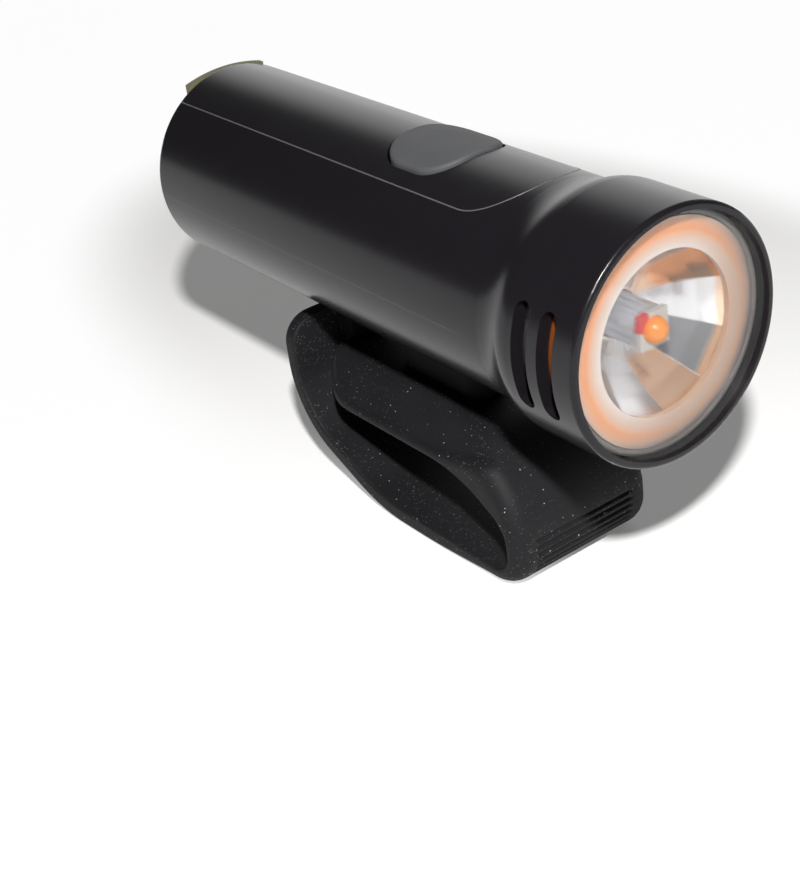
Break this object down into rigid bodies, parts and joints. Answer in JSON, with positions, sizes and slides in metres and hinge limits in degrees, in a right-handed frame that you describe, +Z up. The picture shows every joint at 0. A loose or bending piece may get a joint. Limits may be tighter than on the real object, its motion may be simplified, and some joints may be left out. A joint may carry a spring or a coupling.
{
  "type": "bike headlight",
  "caption": "Torch-style bike headlight: round black body with a flared head, faceted reflector behind a clear lens, top button, rear charging port and a looped rubber handlebar strap.",
  "frame": {"origin": "centre of the bounding box in plan, on the surface that the strap stands on", "axes": "+X along the beam, towards the front; +Y to the light's left, along the handlebar; +Z up"},
  "size_m": [0.0974, 0.033, 0.0575],
  "materials": {
    "shell": "satin-gloss black",
    "cover": "satin-gloss black",
    "button": "matte grey",
    "black_plastic": "matte black",
    "steel": "plated",
    "board": "green solder mask",
    "aluminium": "machined",
    "lamp_ceramic": "white",
    "cap": "matte black",
    "seal": "matte black",
    "port_rubber": "matte olive grey",
    "cell": "blue sleeve",
    "cradle": "natural",
    "lamp_dome": "phosphor under clear dome",
    "lead_red": "insulated wire",
    "lead_black": "insulated wire",
    "mirror_coat": "vacuum-metallised plastic",
    "amber": "clear amber",
    "diffuser": "frosted",
    "lens": "clear polycarbonate",
    "strap": "matte charcoal silicone"
  },
  "bodies": {
    "light": {"main_shell": "shell", "top_cover": "cover", "tact_switch": "steel", "main_board": "board", "driver_inductor": "black_plastic", "driver_chip": "black_plastic", "charge_chip": "black_plastic", "filter_capacitor": "aluminium", "status_led": "lamp_ceramic", "usb_shell": "steel", "usb_tongue": "black_plastic", "rear_cap": "cap", "rear_seal": "seal", "port_anchor": "port_rubber", "cell_can": "cell", "cell_terminal": "steel", "cell_tab_front": "steel", "cell_tab_rear": "steel", "cell_cradle": "cradle", "board_screw_1": "steel", "board_screw_2": "steel", "board_screw_3": "steel", "board_screw_4": "steel", "heat_sink": "aluminium", "lamp_board": "lamp_ceramic", "lamp_post": "aluminium", "lamp_base": "lamp_ceramic", "lamp_dome": "lamp_dome", "lead_positive": "lead_red", "lead_negative": "lead_black", "reflector": "mirror_coat", "amber_ring": "amber", "diffuser_ring": "diffuser", "lens": "lens", "lens_seal": "seal", "mount_foot": "cap", "strap_band": "strap", "clamp_plate": "cap", "clamp_screw_front": "steel", "clamp_screw_rear": "steel"},
    "button": {"mode_button": "button", "switch_plunger": "black_plastic"},
    "port_flap": {"port_cover": "port_rubber"},
    "strap_end": {"strap_tail": "strap"}
  },
  "joints": [
    {"name": "button_press", "type": "slide", "parent": "light", "child": "button", "axis": [0, 0, -1], "range_m": [0, 0.0006], "stiffness_N_per_m": 2500, "springref_m": -0.0002},
    {"name": "port_hinge", "type": "hinge", "parent": "light", "child": "port_flap", "pos_m": [-0.04875, 0, 0.0462], "axis": [0, -1, 0], "range_deg": [0, 110]},
    {"name": "strap_hinge", "type": "hinge", "parent": "light", "child": "strap_end", "pos_m": [-0.02107, 0, 0.01109], "axis": [0, -1, 0], "range_deg": [0, 100]}
  ]
}
